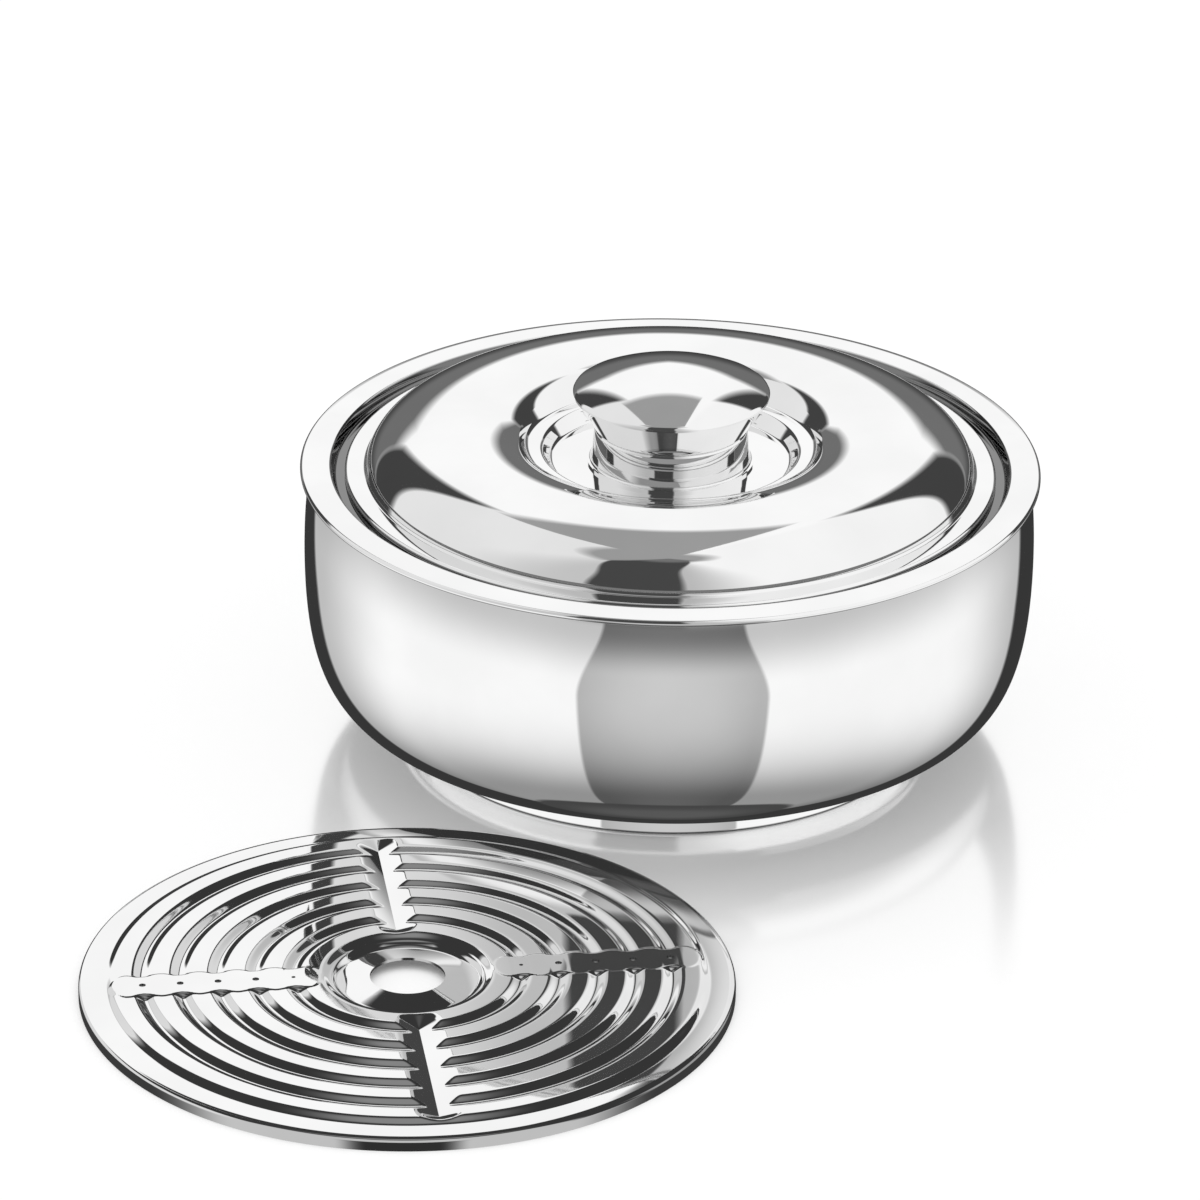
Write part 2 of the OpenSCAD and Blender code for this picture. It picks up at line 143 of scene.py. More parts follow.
def spun(name, outline, segments=256):
    """Solid of revolution about Z of a closed outline, whose points on the axis are shared."""
    verts, rings = [], []
    turns = np.linspace(0, 2 * math.pi, segments, endpoint=False)
    for r, z in outline:
        if r < 1e-6:
            rings.append([len(verts)] * segments)
            verts.append((0.0, 0.0, z * MM))
        else:
            rings.append(list(range(len(verts), len(verts) + segments)))
            verts += [(r * MM * math.cos(t), r * MM * math.sin(t), z * MM) for t in turns]
    faces = []
    n = len(outline)
    for i in range(n):
        a, b = rings[i], rings[(i + 1) % n]
        if outline[i][0] < 1e-6 and outline[(i + 1) % n][0] < 1e-6:
            continue
        for k in range(segments):
            m = (k + 1) % segments
            loop = [a[k], a[m], b[m], b[k]]
            face = [v for j, v in enumerate(loop) if v != loop[j - 1]]
            if len(face) > 2:
                faces.append(face)
    return mesh_object(name, verts, faces)


belly_low = bezier(
    (BASE_R, FOOT_H),
    (BASE_R + (BELLY_R - BASE_R) * 0.44, FOOT_H + (BELLY_Z - FOOT_H) * 0.177),
    (BELLY_R, BELLY_Z - (BELLY_Z - FOOT_H) * 1.062),
    (BELLY_R, BELLY_Z), 64)
flange_under_z = POT_H - HEM_T + SHEET
belly_high = [np.array([BELLY_R - (BELLY_R - NECK_R) * s * s, BELLY_Z + (flange_under_z - BELLY_Z) * s])
              for s in np.linspace(0, 1, 17)[1:-1]]
shell_line = rounded([(BASE_HOLE_R, FOOT_H)] + belly_low + belly_high
                     + [(NECK_R, flange_under_z, 0.6), (RIM_R - SHEET - FOLD_PLAY, flange_under_z)])
bowl_line = rounded([
    (0, BOWL_Z), (BOWL_R, BOWL_Z, BOWL_CORNER_R), (BOWL_R, SEAT_Z, 1.1), (SEAT_R, SEAT_Z, 1.2),
    (RIM_IN_R, POT_H, 1.1), (RIM_R - 2.4, POT_H, 3), (RIM_R, POT_H - 0.25, 1), (RIM_R, POT_H - HEM_T, 1.1),
    (RIM_R - FOLD_W, POT_H - HEM_T)])
foot_line = rounded([(FOOT_R, FOOT_H), (FOOT_R, 0, 1.1), (FOOT_R - SHEET - FOOT_LIP_W, 0)])
base_line = rounded([
    (PLUG_HOLE_R, FOOT_H - SHEET + BASE_RISE),
    (BASE_HOLE_R - SHEET - 3.2, FOOT_H - SHEET + BASE_RISE, 1.5),
    (BASE_HOLE_R - SHEET - 1.6, FOOT_H - SHEET, 1.5), (FOOT_R - SHEET - 0.2, FOOT_H - SHEET)])



def quarter(r, z, first, last, points):
    """Points of a quarter of an ellipse from the lid's crest to radius r and height z, by angle in degrees."""
    turns = np.radians(np.linspace(first, last, points))
    return [np.array([CREST_R + (r - CREST_R) * math.sin(t), z + (CREST_Z - z) * math.cos(t)]) for t in turns]


dome_in = quarter(LEDGE_R, LEDGE_Z, 65, 0, 40)
dome_out = quarter(DOME_R, FLANGE_Z, 0, 82, 50)[1:]
lid_line = rounded(
    [(STUD_HOLE_R, WELL_Z), (WELL_R, WELL_Z, 2), (LEDGE_IN_R, LEDGE_Z, 2), (LEDGE_R, LEDGE_Z, 2.5)]
    + dome_in + dome_out
    + [(DOME_R, FLANGE_Z, 1.2), (LID_R, FLANGE_Z, 1.1), (LID_R, SEAT_Z, 1.1), (LID_R - 2.3, SEAT_Z)])
liner_line = rounded([
    (PLUG_HOLE_R, LINER_Z), (LINER_R, LINER_Z, 5), (LINER_R, SEAT_Z + SHEET, 1.2),
    (LID_R - SHEET - FOLD_PLAY, SEAT_Z + SHEET)])
crown_r, crown_h = KNOB_R - 0.5, CAP_Z - SEAM_Z - CAP_LIP
ball_r = (crown_r ** 2 + crown_h ** 2) / (2 * crown_h)
crown = [np.array([ball_r * math.sin(t), CAP_Z - ball_r * (1 - math.cos(t))])
         for t in np.linspace(0, math.asin(crown_r / ball_r), 40)]
cap_line = rounded(crown + [(KNOB_R, SEAM_Z + CAP_LIP / 2, 0.4), (KNOB_R, SEAM_Z)])
cup_line = rounded([
    (STUD_HOLE_R, CUP_Z), (NECK_TOP_R, CUP_Z, 1.2), (KNOB_R - SHEET - 0.1, SEAM_Z, 0.6),
    (KNOB_R - SHEET - 0.1, SEAM_Z + CAP_LIP / 4)])
crease_z = WELL_Z + (CUP_Z - WELL_Z) * 0.37
crease_r = NECK_TOP_R + (PEDESTAL_R - 1.4 - NECK_TOP_R) * 0.8
pedestal_line = rounded([
    (PEDESTAL_R, WELL_Z + SHEET), (PEDESTAL_R - 1.4, WELL_Z + SHEET, 1), (crease_r, crease_z, 1),
    (NECK_TOP_R, CUP_Z, 1.2), (STUD_HOLE_R, CUP_Z)])

pieces = {}


def stands_for(ob, node, body):
    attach(ob, body)
    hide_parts(node)
    pieces[ob.name] = ob
    return ob


stands_for(spun("belly_sheet", sheet(shell_line, SHEET)), "outer_shell", "pot")
stands_for(spun("bowl_sheet", sheet(bowl_line, -SHEET)), "inner_bowl", "pot")
stands_for(spun("foot_band", sheet(foot_line, -SHEET)), "foot_ring", "pot")
stands_for(spun("bottom_sheet", sheet(base_line, SHEET)), "base_plate", "pot")
stands_for(spun("lid_dome_sheet", sheet(lid_line, -SHEET)), "lid_top", "lid")
stands_for(spun("lid_under_sheet", sheet(liner_line, SHEET)), "lid_liner", "lid")
stands_for(spun("knob_stem", sheet(pedestal_line, SHEET), 160), "knob_pedestal", "lid")
stands_for(spun("knob_flare", sheet(cup_line, SHEET), 160), "knob_cup", "lid")
stands_for(spun("knob_dome", sheet(cap_line, -SHEET), 160), "knob_cap", "lid")


# Roti plate
def to_segment(x, y, a, b):
    """Distance from points to the stretch of the X axis from a to b."""
    return np.hypot(x - np.clip(x, a, b), y)


def soft_max(a, b, k):
    """The larger of a and b, with the corner between them rounded over a width of k."""
    h = np.clip(0.5 + 0.5 * (a - b) / k, 0, 1)
    return b * (1 - h) + a * h + k * h * (1 - h)


def ease(t):
    """Smooth step from 0 to 1."""
    t = np.clip(t, 0, 1)
    return t * t * (3 - 2 * t)


BAR_IN, BAR_OUT = RING_IN_R + RING_PITCH / 4 + BAR_W / 2, RING_OUT_R - RING_PITCH / 8 - BAR_W / 2
# Slope of the rings' sides and of the channels, and widths over which the pressings' corners are rounded
RING_SLOPE, VEE_SLOPE = 0.54, 0.4
GROOVE_BEND, SHOULDER_BEND, JOIN_BEND = 0.4, 0.3, 0.5
# The dished centre: its wall, and the cone that rises from its floor to the finger hole
DISH_FALL, DISH_WALL_W, CONE_IN, CONE_SLOPE = DISH_DEPTH * 1.5, 2.6, 2.4, 0.18
BAND_FALL_W = 12
# The bars: half width of the top, its crown, the fall and width of the sides, and the scallops along them
BAR_TOP, BAR_CROWN, BAR_FALL, BAR_SIDE_W, SCALLOP = 6.2, 0.004, 2.2, 2.6, 0.7


def plate_z(x, y):
    """Height of the plate's upper face: rings, two raised bars along X and two sunk channels along Y."""
    r = np.hypot(x, y)
    to_groove = RING_PITCH / 2 - np.abs((r - RING_OUT_R) % RING_PITCH - RING_PITCH / 2)
    side = RING_SLOPE * (np.hypot(to_groove, GROOVE_BEND) - GROOVE_BEND)
    wave = PLATE_H - soft_max(-side, -RING_H, SHOULDER_BEND)
    z = np.where((r > RING_IN_R) & (r < RING_OUT_R), wave, PLATE_H)
    cone = CONE_SLOPE * np.maximum(RING_IN_R - CONE_IN - r, 0)
    dish = PLATE_H - DISH_FALL * ease((RING_IN_R - r) / DISH_WALL_W) + cone
    z = np.where(r < RING_IN_R, dish, z)
    z = np.where(r > RING_OUT_R, PLATE_H - BAND_FALL * ease((r - RING_OUT_R) / BAND_FALL_W), z)
    off_bar = to_segment(abs(x), y, BAR_IN, BAR_OUT)
    scallop = SCALLOP * np.cos(2 * math.pi * (abs(x) - RING_OUT_R) / RING_PITCH)
    bar_side = BAR_FALL * ease((off_bar - BAR_TOP + scallop) / BAR_SIDE_W)
    bar = PLATE_H + RING_H + BAR_RISE - BAR_CROWN * off_bar ** 2 - bar_side
    off_vee = to_segment(abs(y), x, BAR_IN - 1, BAR_OUT + 1)
    vee = PLATE_H - VEE_DROP + VEE_SLOPE * off_vee
    z = soft_max(z, bar, JOIN_BEND)
    return -soft_max(-z, -vee, JOIN_BEND)


ROW_STEP, LANE_STEP, LANES_TO, BETWEEN = 0.5, 0.45, 10.6, 44
BAND_ROWS, EDGE_IN, WIDEST_LANE = 7, 1.4, 0.69


def plate_grid():
    """Places of the plate's grid: lines along each bar and channel, spread evenly between them."""
    pressed = np.arange(HOLE_R, RING_OUT_R + 1, ROW_STEP)
    band = np.linspace(RING_OUT_R + 1, PLATE_R - EDGE_IN, BAND_ROWS + 1)[1:]
    radii = np.concatenate([pressed, band])
    lanes = np.arange(0, LANES_TO, LANE_STEP)
    between = np.linspace(0, 1, BETWEEN + 2)[1:-1]
    rows = []
    for r in radii:
        # Close to the hole the lanes draw together, so that those of two neighbours never cross
        side = np.arcsin(lanes / max(r, lanes[-1] / WIDEST_LANE))
        gap = math.pi / 2 - 2 * side[-1]
        quarter_turn = np.concatenate([side, side[-1] + gap * between, math.pi / 2 - side[:0:-1]])
        rows.append(np.concatenate([quarter_turn + q * math.pi / 2 for q in range(4)]))
    return radii, np.array(rows)


radii, angles = plate_grid()
px, py = radii[:, None] * np.cos(angles), radii[:, None] * np.sin(angles)
pz = plate_z(px, py)
edge = supported(rounded([
    (PLATE_R - 2.2, PLATE_H - BAND_FALL * 0.7), (PLATE_R, PLATE_H - BAND_FALL, 1.2), (PLATE_R, 0)]))[1:]
flat = angles[-1]
for r, z in edge:
    px = np.vstack([px, r * np.cos(flat)[None]])
    py = np.vstack([py, r * np.sin(flat)[None]])
    pz = np.vstack([pz, np.full((1, len(flat)), z)])
grid = np.stack([px, py, pz], -1)
du = np.roll(grid, -1, 1) - np.roll(grid, 1, 1)
dv = np.gradient(grid, axis=0)
normal = np.cross(dv, du)
normal /= np.linalg.norm(normal, axis=-1)[..., None]
under = grid - normal * PLATE_SHEET
under[-1, :, :2] = grid[-1, :, :2] * (PLATE_R - PLATE_SHEET) / PLATE_R
under[-1, :, 2] = 0
under[0, :, :2] = grid[0, :, :2]
rows_n, cols_n = grid.shape[:2]
turn = math.radians(BAR_TURN)
spin = np.array([[math.cos(turn), -math.sin(turn)], [math.sin(turn), math.cos(turn)]])
verts = np.concatenate([grid, under[::-1]]).reshape(-1, 3)
verts[:, :2] = verts[:, :2] @ spin.T + np.array(PLATE_AT)
faces = []
for i in range(2 * rows_n):
    j = (i + 1) % (2 * rows_n)
    for k in range(cols_n):
        m = (k + 1) % cols_n
        faces.append((i * cols_n + k, j * cols_n + k, j * cols_n + m, i * cols_n + m))
plate = mesh_object("ringed_plate", verts * MM, faces)

# Drain holes, drilled through the bars
DRILL_LOW, DRILL_HIGH, DRILL_SIDES = 3.0, 9.0, 24
cutters = []
for s in (0, math.pi):
    for i in range(1, DRAINS + 1):
        reach = RING_OUT_R - i * RING_PITCH
        hole = SMALL_DRAIN_R if i == DRAINS else DRAIN_R
        at = np.array(PLATE_AT) + spin @ (reach * np.array([math.cos(s), math.sin(s)]))
        cutters.append((at, hole))
cut_verts, cut_faces = [], []
corners = [2 * math.pi * k / DRILL_SIDES for k in range(DRILL_SIDES)]
for at, hole in cutters:
    base = len(cut_verts)
    for z in (DRILL_LOW, DRILL_HIGH):
        cut_verts += [((at[0] + hole * math.cos(t)) * MM, (at[1] + hole * math.sin(t)) * MM, z * MM)
                      for t in corners]
    low_ring = [base + k for k in range(DRILL_SIDES)]
    high_ring = [v + DRILL_SIDES for v in low_ring]
    cut_faces += [(low_ring[k - 1], low_ring[k], high_ring[k], high_ring[k - 1]) for k in range(DRILL_SIDES)]
    cut_faces += [tuple(reversed(low_ring)), tuple(high_ring)]
drill = mesh_object("drain_cutter", cut_verts, cut_faces)
boolean = plate.modifiers.new("drains", "BOOLEAN")
boolean.operation, boolean.solver, boolean.object = "DIFFERENCE", "MANIFOLD", drill
done = bpy.data.meshes.new_from_object(plate.evaluated_get(bpy.context.evaluated_depsgraph_get()))
plate.modifiers.clear()
plate.data = done
bpy.data.objects.remove(drill)
plate.data.shade_smooth()
plate.data.set_sharp_from_angle(angle=math.radians(35))
stands_for(plate, "roti_plate", "plate")
# The photograph's belly doesn't mirror the plate, which was photographed apart
plate.visible_glossy = False


# Materials
class Net:
    """Small helper that adds nodes to a node tree."""

    def __init__(self, tree):
        self.tree = tree
        tree.nodes.clear()

    def add(self, kind, **values):
        node = self.tree.nodes.new(kind)
        for key, value in values.items():
            if key in node.inputs:
                self.put(node.inputs[key], value)
            else:
                setattr(node, key, value)
        return node

    def put(self, socket, value):
        if hasattr(value, "is_output"):
            self.tree.links.new(value, socket)
        else:
            socket.default_value = value

    def math(self, op, *args):
        node = self.tree.nodes.new("ShaderNodeMath")
        node.operation = op
        for i, a in enumerate(args):
            self.put(node.inputs[i], a)
        return node.outputs[0]

    def ramp(self, x, lo, hi, a=0.0, b=1.0):
        node = self.tree.nodes.new("ShaderNodeMapRange")
        node.interpolation_type = "SMOOTHSTEP"
        for name, v in (("Value", x), ("From Min", lo), ("From Max", hi), ("To Min", a), ("To Max", b)):
            self.put(node.inputs[name], v)
        return node.outputs["Result"]

    def mix(self, factor, a, b):
        node = self.tree.nodes.new("ShaderNodeMix")
        node.data_type = "RGBA"
        self.put(node.inputs["Factor"], factor)
        self.put(node.inputs["A"], a)
        self.put(node.inputs["B"], b)
        return node.outputs["Result"]


def material(name):
    m = bpy.data.materials.new(name)
    m.use_nodes = True
    return m, Net(m.node_tree)


MARKS_PER_M = 2600.0
# Tone of the painted shade in the gap between the lid's edge and the pot's rim
GAP_SHADE_TONE = 0.2


def steel(name, tone, roughness, gap_shade=False):
    """Steel: even tone with faint clouding, fine spinning marks and small changes of gloss. When asked, the
    steel between the lid's edge and the rim is painted darker: painted shade in the gap under the lid's edge."""
    m, net = material(name)
    where = net.add("ShaderNodeNewGeometry").outputs["Position"]
    cut = net.add("ShaderNodeSeparateXYZ", Vector=where)
    x, y, z = cut.outputs
    reach = net.math("SQRT", net.math("ADD", net.math("MULTIPLY", x, x), net.math("MULTIPLY", y, y)))
    lanes = net.add("ShaderNodeCombineXYZ", X=net.math("MULTIPLY", reach, MARKS_PER_M),
                    Y=net.math("MULTIPLY", z, MARKS_PER_M))
    marks = net.add("ShaderNodeTexNoise", Vector=lanes.outputs[0], Scale=1.0, Detail=3.0).outputs["Fac"]
    cloud = net.add("ShaderNodeTexNoise", Vector=where, Scale=26.0, Detail=4.0).outputs["Fac"]
    dark, light = (tuple(tone * s for _ in range(3)) + (1.0,) for s in (0.97, 1.02))
    colour = net.mix(net.ramp(cloud, 0.3, 0.7), dark, light)
    # Painted shade: a dark ring on the seat where the lid's edge overhangs it inside the rim
    if gap_shade:
        inner = net.ramp(reach, (LID_R - 1.2) * MM, (LID_R - 0.4) * MM)
        outer = net.ramp(reach, (RIM_IN_R + 0.4) * MM, (RIM_IN_R - 0.2) * MM)
        gap_shade_mask = net.math("MULTIPLY", inner, outer)
        colour = net.mix(gap_shade_mask, colour, (GAP_SHADE_TONE, GAP_SHADE_TONE, GAP_SHADE_TONE, 1.0))
    gloss = net.ramp(cloud, 0.35, 0.7, roughness * 0.7, roughness * 1.3)
    bump = net.add("ShaderNodeBump", Strength=0.05, Distance=0.00001, Height=marks)
    shader = net.add("ShaderNodeBsdfPrincipled", Metallic=1.0, Roughness=gloss, Normal=bump.outputs[0])
    net.put(shader.inputs["Base Color"], colour)
    out = net.add("ShaderNodeOutputMaterial")
    net.put(out.inputs["Surface"], shader.outputs[0])
    return m


def dress(ob, m):
    ob.data.materials.clear()
    ob.data.materials.append(m)


POLISH = 0.03
bright = steel("bright_steel", 0.9, POLISH)
# The seat's steel carries painted shade in the gap under the lid's edge
seat_with_shade = steel("seat_steel_painted_shade", 0.9, POLISH, gap_shade=True)
satin = steel("satin_steel", 0.72, 0.2)
for name, ob in pieces.items():
    dress(ob, {"bottom_sheet": satin, "bowl_sheet": seat_with_shade}.get(name, bright))

# The walls of the drain holes are rougher than the sheet and painted dark: painted shade inside the holes
plate.data.materials.append(steel("drain_wall_painted_shade", 0.12, 0.45))
shaded_hole_walls = np.zeros(len(plate.data.polygons), int)
centres = np.zeros(3 * len(shaded_hole_walls))
slopes = np.zeros(3 * len(shaded_hole_walls))
plate.data.polygons.foreach_get("center", centres)
plate.data.polygons.foreach_get("normal", slopes)
centres, slopes = centres.reshape(-1, 3) / MM, slopes.reshape(-1, 3)
for at, hole in cutters:
    inside = np.hypot(centres[:, 0] - at[0], centres[:, 1] - at[1]) < hole + 0.02
    shaded_hole_walls[inside & (abs(slopes[:, 2]) < 0.5)] = 1
plate.data.polygons.foreach_set("material_index", shaded_hole_walls)


def plain(name, dark, light, roughness, scale, depth):
    """Cast or moulded stuff: mottled between two colours, with a fine cellular relief of the given depth."""
    m, net = material(name)
    where = net.add("ShaderNodeNewGeometry").outputs["Position"]
    grain = net.add("ShaderNodeTexNoise", Vector=where, Scale=scale, Detail=5.0).outputs["Fac"]
    cell = net.add("ShaderNodeTexVoronoi", Vector=where, Scale=scale * 1.4).outputs["Distance"]
    colour = net.mix(net.ramp(grain, 0.3, 0.7), dark + (1.0,), light + (1.0,))
    bump = net.add("ShaderNodeBump", Strength=0.4, Distance=depth, Height=cell)
    shader = net.add("ShaderNodeBsdfPrincipled", Roughness=roughness, Normal=bump.outputs[0])
    net.put(shader.inputs["Base Color"], colour)
    out = net.add("ShaderNodeOutputMaterial")
    net.put(out.inputs["Surface"], shader.outputs[0])
    return m


foam = plain("cast_foam", (0.84, 0.76, 0.52), (0.95, 0.90, 0.72), 0.9, 900.0, 0.0003)
plug = plain("plug_plastic", (0.035, 0.035, 0.038), (0.06, 0.06, 0.065), 0.45, 500.0, 0.00005)
for node, m in (("body_foam", foam), ("lid_foam", foam), ("base_plug", plug), ("lid_plug", plug),
                ("knob_stud", satin), ("flat_washer", satin), ("lock_washer", satin), ("knob_nut", satin)):
    dress(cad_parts[node], m)


# Camera
# Fitted to the rim's ellipse in the photograph, whose sides are PIXELS long
PIXELS, FOCAL_PIXELS, SENSOR_W, DISTANCE = 1200, 7039.3, 36, 2.4
tilt, roll = math.radians(25.342), math.radians(0.729)
aim = Vector((-23.169, 0, POT_H - 51.92)) * MM
back = Vector((0, -math.cos(tilt), math.sin(tilt)))
right, up = Vector((1, 0, 0)), Vector((0, math.sin(tilt), math.cos(tilt)))
side = math.cos(roll) * right + math.sin(roll) * up
top = -math.sin(roll) * right + math.cos(roll) * up
cam = bpy.data.cameras.new("camera")
camera = bpy.data.objects.new("camera", cam)
bpy.context.scene.collection.objects.link(camera)
cam.lens, cam.sensor_width = SENSOR_W * FOCAL_PIXELS / PIXELS, SENSOR_W
cam.clip_start, cam.clip_end = 0.1, 100
place = aim + back * DISTANCE
camera.matrix_world = Matrix(
    [(side[i], top[i], back[i], place[i]) for i in range(3)] + [(0, 0, 0, 1)])
bpy.context.scene.camera = camera


# Stage
class Term:
    """A number in a node tree, with the usual operators."""

    def __init__(self, net, socket):
        self.net, self.socket = net, socket

    def with_(self, op, *others):
        return Term(self.net, self.net.math(op, self.socket, *[getattr(o, "socket", o) for o in others]))

    def __add__(self, o):
        return self.with_("ADD", o)

    def __sub__(self, o):
        return self.with_("SUBTRACT", o)

    def __mul__(self, o):
        return self.with_("MULTIPLY", o)

    def __rsub__(self, o):
        return Term(self.net, self.net.math("SUBTRACT", o, self.socket))

    __radd__ = __add__
    __rmul__ = __mul__

    def clip(self):
        return self.with_("MAXIMUM", 0.0).with_("MINIMUM", 1.0)

    def above(self, edge, soft=1.0):
        """0 below the edge and 1 above it, in a straight line over a width of soft."""
        return ((self - edge) * (1 / soft) + 0.5).clip()

    def smooth(self, lo, hi):
        """0 at lo and 1 at hi, smooth between them."""
        return Term(self.net, self.net.ramp(self.socket, lo, hi))


def blend_to(a, b, t):
    """a where t is 0, b where t is 1."""
    return a + (b - a) * t


def directions(net):
    """Direction of a point of a far sphere. Turn is 0 towards the camera's side (-Y) and positive towards +X;
    lift is the height above the horizon. Both are in degrees."""
    place = net.add("ShaderNodeNewGeometry").outputs["Position"]
    ray = net.add("ShaderNodeVectorMath", operation="NORMALIZE", Vector=place).outputs["Vector"]
    x, y, z = (Term(net, o) for o in net.add("ShaderNodeSeparateXYZ", Vector=ray).outputs)
    turn = x.with_("ARCTAN2", 0.0 - y) * (180 / math.pi)
    lift = z.with_("MINIMUM", 1.0).with_("MAXIMUM", -1.0).with_("ARCSINE") * (180 / math.pi)
    return turn, lift


# Tones round the pot, 0 to 255, as they show in the polished steel
LEFT_PANEL, LEFT_DIM, RIGHT_PANEL, RIGHT_RISE = 226, 32, 183, 60
GAP_TONE, WEDGE_TONE, WALL_TONE = 71, 66, 247
TABLE_TONE, TABLE_FAR_TONE = 72, 108
CEILING_TONE, CEILING_FRONT_TONE = 152, 112
SIDE_HIGH, SIDE_MID, SIDE_LOW, SIDE_FADE = 193, 248, 144, 0.25
FRONT_HIGH, FRONT_MID, FRONT_LOW, FRONT_FADE = 113, 199, 95, 0.1
EDGE_TONE, UNDER_TONE, UNDER_MID_TONE = 56, 87, 70


def pot_studio(net):
    """Brightness of the studio round the pot by direction, 0 to 255 as seen in the polished steel."""
    turn, lift = directions(net)
    wide = turn.with_("ABSOLUTE")
    to_right = turn.above(0.0, 1.0)
    # Upper half: two side panels, a dark gap towards the camera, a white wall behind and a grey ceiling
    high = lift.with_("MAXIMUM", 0.0)
    left_panel = LEFT_PANEL - LEFT_DIM * turn.smooth(-85, -40)
    right_panel = RIGHT_PANEL + RIGHT_RISE * turn.smooth(5, 38)
    panel = blend_to(left_panel, right_panel, to_right)
    gap_left = -30 - 30 * (high * (1 / 76)).with_("POWER", 5.0)
    gap_right = 5 + 8 * (high * (1 / 74)).with_("POWER", 12.0)
    in_gap = turn.above(gap_left, 3.0) * (1 - turn.above(gap_right, 3.0))
    upper = blend_to(panel, GAP_TONE, in_gap)
    seam = 122 + 0.016 * high.with_("POWER", 2.0)
    wall = (142 + 0.7 * lift).with_("MINIMUM", 158.0)
    upper = blend_to(upper, WEDGE_TONE, wide.above(seam, 4.0))
    upper = blend_to(upper, WALL_TONE, wide.above(wall, 4.0))
    horizon = 20 - 0.5 * (wide - 166).with_("MAXIMUM", 0.0)
    far_table = blend_to(TABLE_TONE, TABLE_FAR_TONE, lift.smooth(-8, 6))
    upper = blend_to(upper, far_table, wide.above(wall, 4.0) * (1 - lift.above(horizon, 5.0)))
    behind = wide.above(blend_to(153, 162, to_right), 5.0)
    beside = blend_to(blend_to(74, 82, to_right), 83, 1 - wide.smooth(50, 62))
    ceiling = blend_to(CEILING_TONE, CEILING_FRONT_TONE, 1 - wide.smooth(40, 70))
    upper = blend_to(upper, ceiling, lift.above(blend_to(beside, 50, behind), 4.0))
    # Lower half: the same panels mirrored in the floor, darker towards the foot of the pot
    side = blend_to(SIDE_MID, SIDE_HIGH, lift.smooth(-23, -12))
    side = blend_to(side, SIDE_LOW, 1 - lift.smooth(-62, -27))
    side = side * (1 - SIDE_FADE * wide.smooth(97, 145))
    front = blend_to(FRONT_MID, FRONT_HIGH, lift.smooth(-21, -12))
    front = blend_to(front, FRONT_LOW, 1 - lift.smooth(-62, -25))
    front = front * (1 - FRONT_FADE * (turn * (1 / 28)).with_("POWER", 2.0).with_("MINIMUM", 1.0))
    depth = (-12 - lift).with_("MAXIMUM", 0.0) * (1 / 56)
    spread = 21 + 9 * (1 - lift.smooth(-26, -10)) + 8 * depth.with_("POWER", 4.0)
    lower = blend_to(front, side, (turn - 1.5).with_("ABSOLUTE").above(spread, 1.2))
    edge = blend_to(147 + 0.75 * (lift + 25), 142 + 0.3 * (lift + 25), to_right)
    lower = blend_to(lower, EDGE_TONE, wide.above(edge, 3.0))
    under = blend_to(UNDER_TONE, UNDER_MID_TONE, lift.smooth(-84, -72))
    lower = blend_to(lower, under, 1 - lift.above(-70.5, 1.5))
    return blend_to(lower, upper, lift.smooth(-12, -8))


# Tones round the plate, 0 to 255
DARK_TONE, PLATE_LEFT, PLATE_WALL, PLATE_RIGHT, PLATE_FRONT, OVERHEAD = 55, 215, 246, 150, 190, 130
LOW_FRONT, LOW_SIDE, LOW_MIDDLE = 190, 60, 50


def plate_studio(net):
    """Brightness of the studio round the plate: a light panel at the left, a white wall behind, a grey panel at
    the right, light from the camera's side and a grey patch overhead, with dark between them."""
    turn, lift = directions(net)
    wide = turn.with_("ABSOLUTE")
    round_left = blend_to(wide, 360 - wide, turn.above(0.0, 1.0))
    left_panel = round_left.above(40, 8.0) * (1 - round_left.above(150, 4.0)) * (1 - lift.above(36, 4.0))
    tone = blend_to(DARK_TONE, PLATE_LEFT, left_panel)
    wall = round_left.above(150, 4.0) * (1 - round_left.above(183.5, 1.0)) * (1 - lift.above(43, 3.0))
    tone = blend_to(tone, PLATE_WALL, wall * lift.above(11, 2.0))
    right_panel = turn.above(85, 12.0) * (1 - turn.above(140, 8.0)) * (1 - lift.above(32, 6.0))
    tone = blend_to(tone, PLATE_RIGHT, right_panel)
    front = (1 - wide.above(60, 8.0)) * (1 - lift.above(60, 8.0))
    tone = blend_to(tone, PLATE_FRONT, front)
    tone = blend_to(tone, OVERHEAD, lift.smooth(66, 82))
    low = blend_to(LOW_FRONT, LOW_SIDE, wide.smooth(60, 100))
    low = blend_to(low, LOW_MIDDLE, 1 - wide.smooth(12, 24))
    return blend_to(low, tone, lift.smooth(-8, -2))


def to_linear(tone):
    """Emission strength of a tone of 0 to 255."""
    return (tone * (1 / 255)).with_("POWER", 2.2)


# Share of the light that the polished steel reflects, and radius in metres of the pot's sphere
STEEL_TONE = 0.9
SKY_R = 60.0


def sky(name, radius, studio, seen_by):
    """A far glowing sphere that is seen only as the reflection in some objects (light linking)."""
    bm = bmesh.new()
    bmesh.ops.create_uvsphere(bm, u_segments=64, v_segments=32, radius=radius)
    me = bpy.data.meshes.new(name)
    bm.to_mesh(me)
    bm.free()
    ob = bpy.data.objects.new(name, me)
    bpy.context.scene.collection.objects.link(ob)
    m, net = material(name)
    strength = to_linear(studio(net)) * (1 / STEEL_TONE)
    glow = net.add("ShaderNodeEmission", Color=(1, 1, 1, 1), Strength=strength.socket)
    clear = net.add("ShaderNodeBsdfTransparent")
    glass = net.add("ShaderNodeAddShader")
    net.put(glass.inputs[0], glow.outputs[0])
    net.put(glass.inputs[1], clear.outputs[0])
    out = net.add("ShaderNodeOutputMaterial")
    net.put(out.inputs["Surface"], glass.outputs[0])
    m.cycles.emission_sampling = "NONE"
    dress(ob, m)
    for kind in ("camera", "diffuse", "transmission", "volume_scatter", "shadow"):
        setattr(ob, "visible_" + kind, False)
    group = bpy.data.collections.new(name + "_sees")
    for other in seen_by:
        group.objects.link(other)
    ob.light_linking.receiver_collection = group


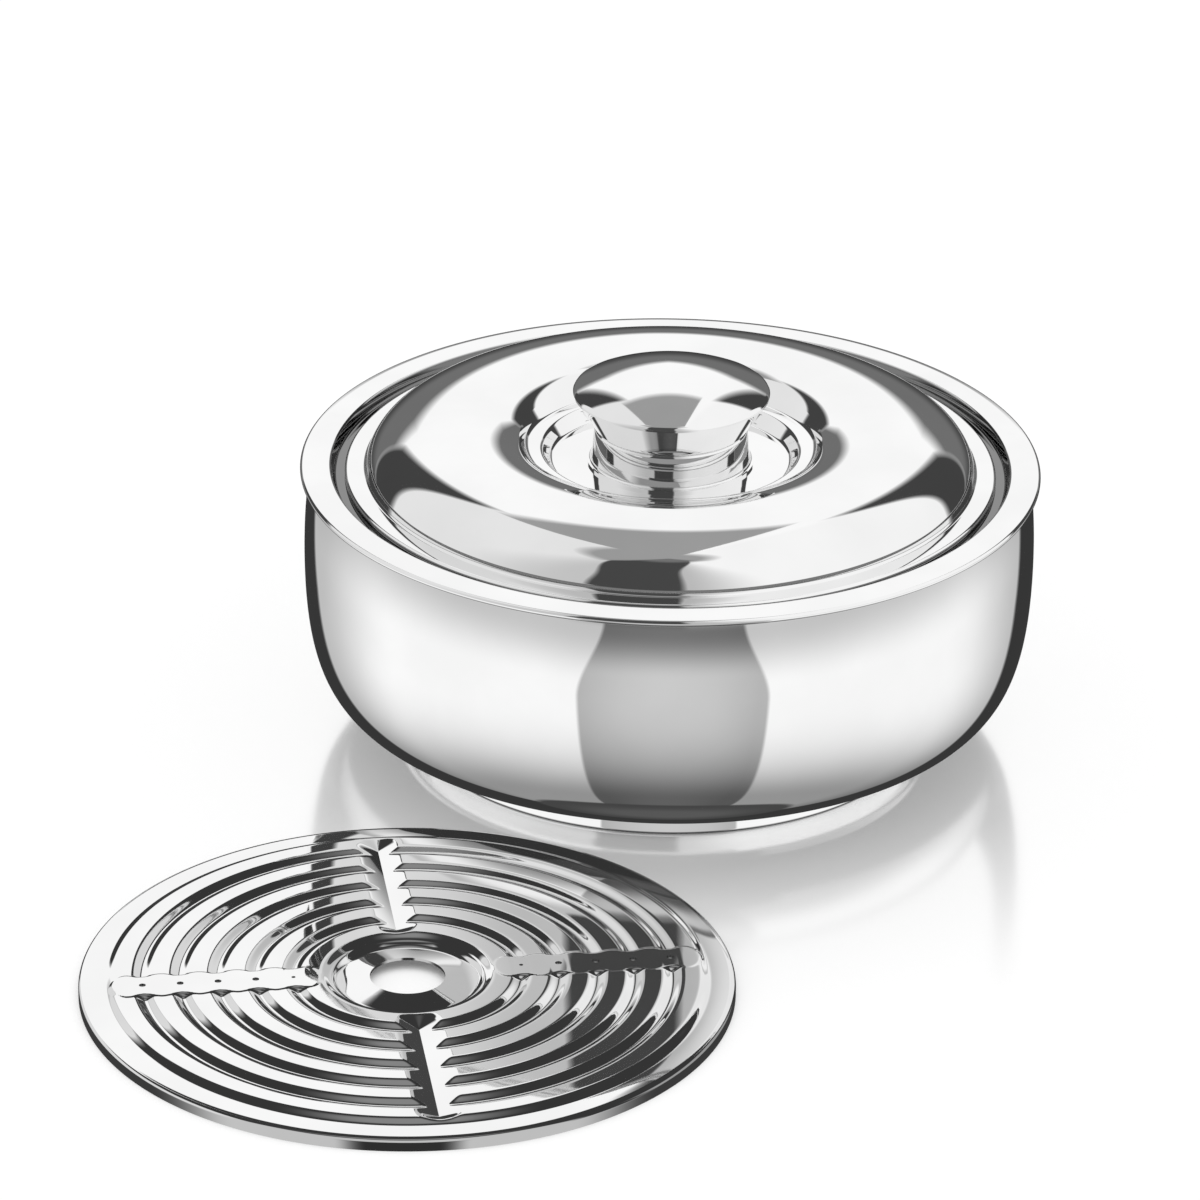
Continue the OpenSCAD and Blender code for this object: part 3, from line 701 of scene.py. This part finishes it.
world = bpy.data.worlds.new("studio")
bpy.context.scene.world = world
world.use_nodes = True
net = Net(world.node_tree)
shiny = net.add("ShaderNodeLightPath").outputs["Is Glossy Ray"]
background = net.add("ShaderNodeBackground", Color=(1, 1, 1, 1), Strength=net.math("SUBTRACT", 1.0, shiny))
out = net.add("ShaderNodeOutputWorld")
net.put(out.inputs["Surface"], background.outputs[0])

floor = mesh_object("floor", [(-8, -8, 0), (8, -8, 0), (8, 8, 0), (-8, 8, 0)], [(0, 1, 2, 3)])
floor.visible_glossy = False
m, net = material("floor")
spot = net.add("ShaderNodeNewGeometry").outputs["Position"]
east, north, _ = (Term(net, o) for o in net.add("ShaderNodeSeparateXYZ", Vector=spot).outputs)
reach = (east * east + north * north).with_("SQRT")
# The floor mirrors the pot near its foot only, and is dark where the object all but touches it
sheen = 0.58 * (1 - reach.smooth(0.07, 0.24))
matte = net.add("ShaderNodeBsdfDiffuse", Color=(0.42, 0.42, 0.42, 1))
near = net.add("ShaderNodeAmbientOcclusion", samples=8, Distance=0.009).outputs["AO"]
glow = net.add("ShaderNodeEmission", Color=(1, 1, 1, 1), Strength=net.ramp(near, 0.05, 0.7, 0.0, 0.62))
lit = net.add("ShaderNodeAddShader")
net.put(lit.inputs[0], matte.outputs[0])
net.put(lit.inputs[1], glow.outputs[0])
mirror = net.add("ShaderNodeBsdfGlossy", Color=(1, 1, 1, 1), Roughness=0.13)
polished = net.add("ShaderNodeMixShader", Fac=sheen.socket)
net.put(polished.inputs[1], lit.outputs[0])
net.put(polished.inputs[2], mirror.outputs[0])
out = net.add("ShaderNodeOutputMaterial")
net.put(out.inputs["Surface"], polished.outputs[0])
dress(floor, m)

near_pot = [ob for ob in bpy.context.scene.objects if ob.type == "MESH" and ob != plate]
PLATE_SKY_R = SKY_R * 1.1
sky("pot_sky", SKY_R, pot_studio, near_pot)
sky("plate_sky", PLATE_SKY_R, plate_studio, [plate])

scene = bpy.context.scene
scene.view_settings.view_transform = "Standard"
bpy.context.view_layer.update()
